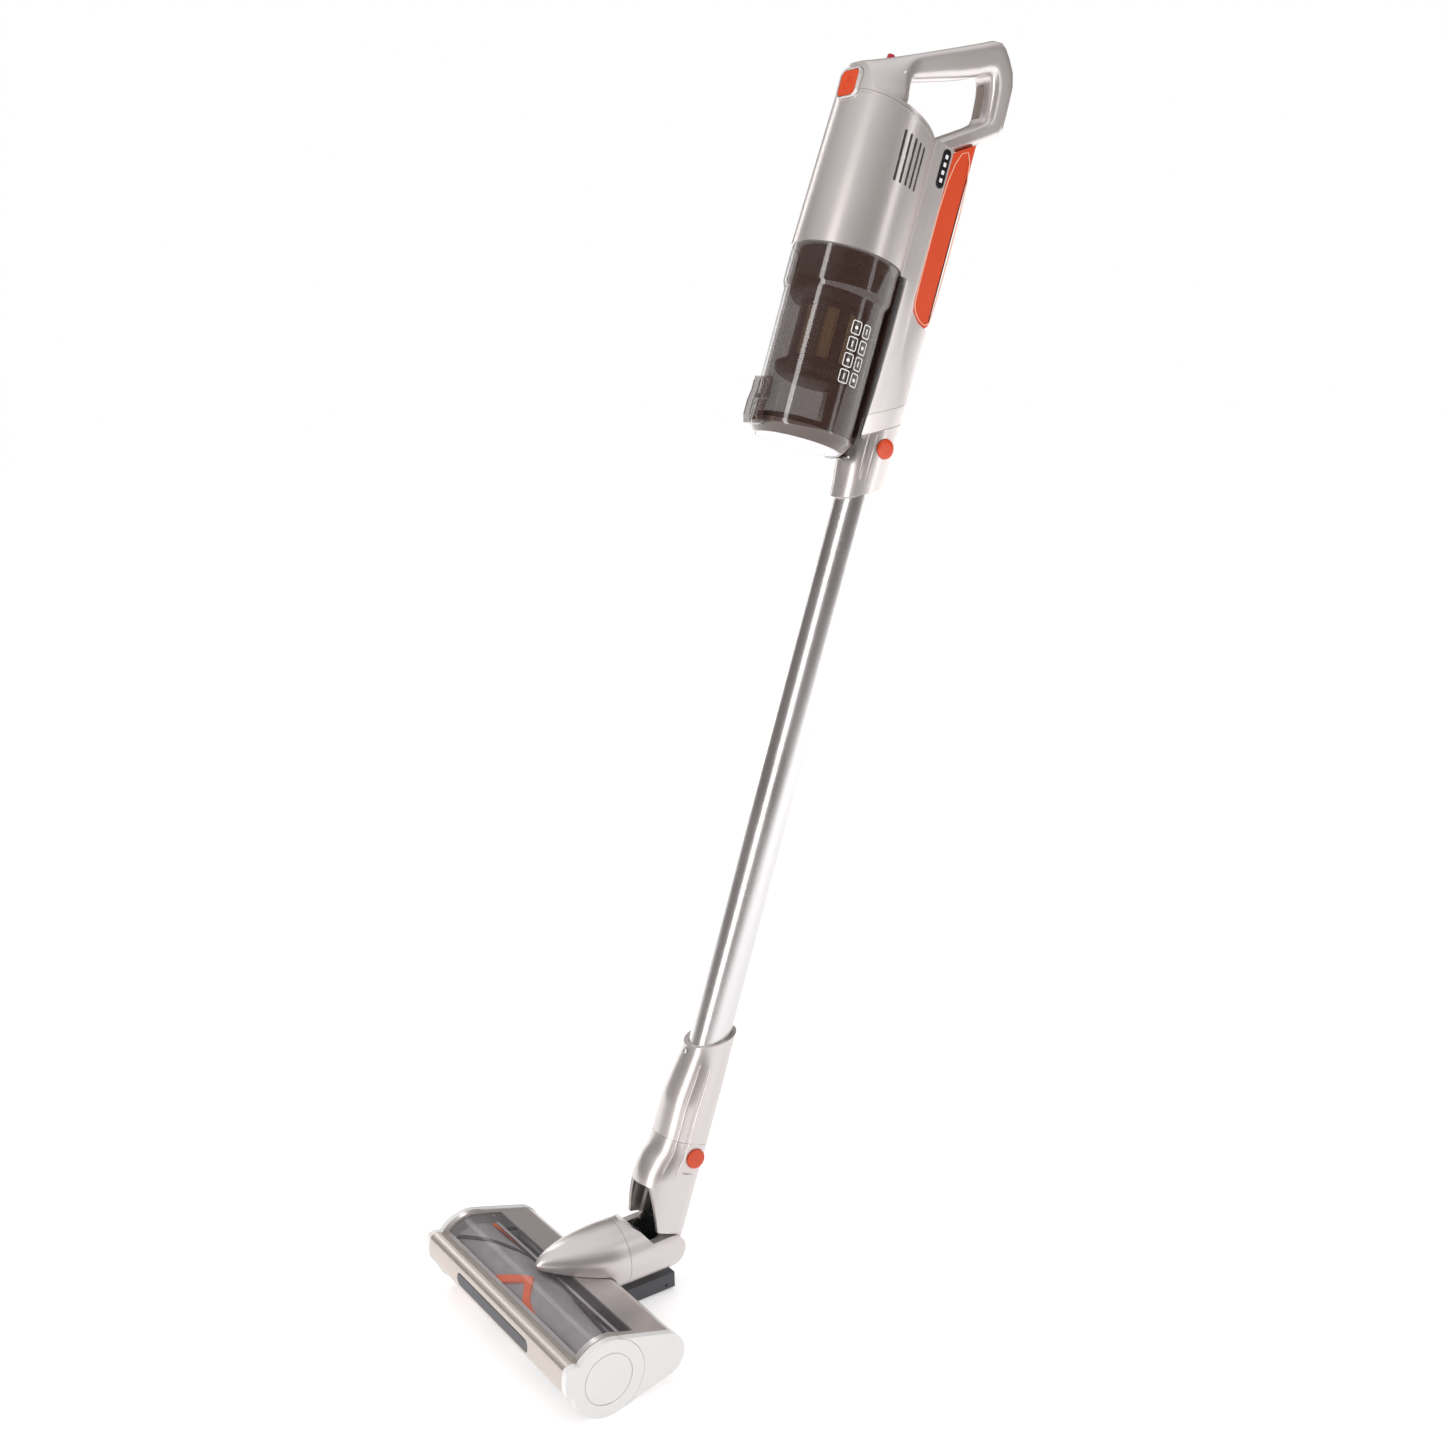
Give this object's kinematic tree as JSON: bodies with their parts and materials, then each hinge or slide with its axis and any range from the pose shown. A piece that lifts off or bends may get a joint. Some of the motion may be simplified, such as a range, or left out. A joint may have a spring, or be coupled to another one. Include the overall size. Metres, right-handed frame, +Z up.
{
  "type": "cordless stick vacuum cleaner",
  "caption": "Cordless stick vacuum: powered floor head, articulated neck, metal wand, clear cyclone cup, motor housing, loop handle and slide-out battery.",
  "frame": {"origin": "on the floor, under the centre of the whole object's bounding box", "axes": "+Z up, +X along the floor head's width, -Y towards the front of the floor head; the wand leans back towards +Y"},
  "size_m": [0.246, 0.5598, 1.0502],
  "materials": {
    "brushed_tube": "brushed",
    "champagne_silver": "satin metallic",
    "pale_trim": "satin metallic",
    "bronze_silver": "satin metallic",
    "end_cap_white": "satin",
    "orange": "satin",
    "boost_red": "satin",
    "black_plastic": "satin",
    "dark_grey_plastic": "satin",
    "indicator_black": "gloss",
    "grip_brown": "satin",
    "smoked_clear": "clear smoked",
    "smoked_dark": "gloss",
    "lilac_disc": "satin",
    "black_rubber": "matte",
    "golden_mesh": "fine perforated",
    "steel": "satin",
    "motor_metal": "satin",
    "cell_wrap": "satin",
    "board_green": "satin",
    "filter_white": "soft",
    "brush_fluff": "fluffy",
    "pulley_white": "satin"
  },
  "bodies": {
    "wand": {"wand_tube": "brushed_tube", "lower_connector": "champagne_silver", "lower_collar": "champagne_silver", "connector_screw": "steel", "upper_connector": "champagne_silver", "inlet_collar": "champagne_silver", "spine_shell": "champagne_silver", "cup_back_plate": "black_plastic", "charge_indicator": "indicator_black", "motor_housing": "champagne_silver", "power_bezel": "champagne_silver", "handle_shell": "champagne_silver", "handle_rear_trim": "pale_trim", "grip_inner_strip": "grip_brown", "suction_motor": "motor_metal", "motor_mount": "black_rubber", "pre_motor_filter": "filter_white", "control_board": "board_green", "filter_ring": "black_plastic", "filter_cage": "black_plastic", "filter_mesh": "golden_mesh", "cyclone_skirt": "black_plastic"},
    "impeller": {"impeller": "black_plastic"},
    "power_button": {"power_button": "orange"},
    "boost_button": {"boost_button": "boost_red"},
    "upper_release": {"upper_release_button": "orange"},
    "lower_release": {"lower_release_button": "orange"},
    "battery": {"battery_case": "orange", "battery_cover": "black_plastic", "cell_stack_1": "cell_wrap", "cell_stack_2": "cell_wrap", "cell_stack_3": "cell_wrap"},
    "cup": {"dust_cup": "smoked_clear", "lid_hinge_pin": "steel"},
    "lid": {"cup_lid": "smoked_dark", "lid_disc": "lilac_disc", "lid_gasket": "black_rubber"},
    "latch": {"cup_latch": "smoked_clear"},
    "neck": {"neck_yoke": "champagne_silver", "hinge_pin_left": "steel", "hinge_pin_right": "steel", "neck_hose": "black_rubber"},
    "head": {"neck_nose": "champagne_silver", "head_shell": "champagne_silver", "head_window": "smoked_clear", "front_bumper": "bronze_silver", "bumper_strip": "dark_grey_plastic", "side_cover_left": "end_cap_white", "side_cover_right": "end_cap_white", "end_cap_left": "end_cap_white", "rear_support": "dark_grey_plastic", "drive_motor": "motor_metal", "drive_belt": "black_rubber"},
    "end_cap": {"end_cap_right": "end_cap_white"},
    "brush": {"brush_core": "black_plastic", "brush_sleeve": "brush_fluff"},
    "motor_pulley": {"motor_pulley": "pulley_white"},
    "rear_wheel": {"rear_wheel": "black_rubber"}
  },
  "joints": [
    {"name": "neck_pitch", "type": "hinge", "parent": "wand", "child": "neck", "pos_m": [0, -0.1189, 0.052], "axis": [1, 0, 0], "range_deg": [-20, 65], "deforming": ["neck_hose"]},
    {"name": "neck_swivel", "type": "hinge", "parent": "neck", "child": "head", "pos_m": [0, -0.1189, 0.052], "axis": [0, 1, 0], "range_deg": [-45, 45]},
    {"name": "brush_spin", "type": "hinge", "parent": "head", "child": "brush", "pos_m": [0, -0.2419, 0.032], "axis": [1, 0, 0], "continuous": true},
    {"name": "motor_pulley_spin", "type": "hinge", "parent": "head", "child": "motor_pulley", "pos_m": [-0.107, -0.1959, 0.03], "axis": [1, 0, 0], "continuous": true},
    {"name": "rear_wheel_spin", "type": "hinge", "parent": "head", "child": "rear_wheel", "pos_m": [0, -0.1159, 0.006], "axis": [1, 0, 0], "continuous": true},
    {"name": "end_cap_pull", "type": "slide", "parent": "head", "child": "end_cap", "axis": [1, 0, 0], "range_m": [0, 0.03]},
    {"name": "impeller_spin", "type": "hinge", "parent": "wand", "child": "impeller", "pos_m": [0, 0.10741, 0.89014], "axis": [0, 0.342, 0.9397], "continuous": true},
    {"name": "power_press", "type": "slide", "parent": "wand", "child": "power_button", "axis": [0, 0.9397, -0.342], "range_m": [0, 0.0015], "stiffness_N_per_m": 400, "springref_m": -0.0005},
    {"name": "boost_press", "type": "slide", "parent": "wand", "child": "boost_button", "axis": [0, -0.342, -0.9397], "range_m": [0, 0.0012], "stiffness_N_per_m": 400, "springref_m": -0.0005},
    {"name": "upper_release_press", "type": "slide", "parent": "wand", "child": "upper_release", "axis": [-1, 0, 0], "range_m": [0, 0.0025], "stiffness_N_per_m": 400, "springref_m": -0.0005},
    {"name": "lower_release_press", "type": "slide", "parent": "wand", "child": "lower_release", "axis": [-1, 0, 0], "range_m": [0, 0.0025], "stiffness_N_per_m": 400, "springref_m": -0.0005},
    {"name": "battery_slide", "type": "slide", "parent": "wand", "child": "battery", "axis": [0, 0.9397, -0.342], "range_m": [0, 0.045]},
    {"name": "cup_slide", "type": "slide", "parent": "wand", "child": "cup", "axis": [0, -0.342, -0.9397], "range_m": [0, 0.06]},
    {"name": "lid_hinge", "type": "hinge", "parent": "cup", "child": "lid", "pos_m": [0, 0.08897, 0.7085], "axis": [1, 0, 0], "range_deg": [0, 90]},
    {"name": "latch_hinge", "type": "hinge", "parent": "cup", "child": "latch", "pos_m": [0, 0.01092, 0.76245], "axis": [-1, 0, 0], "range_deg": [0, 12]}
  ],
  "couplings": [
    {"joint": "motor_pulley_spin", "follows": "brush_spin", "ratio": 2.4}
  ]
}
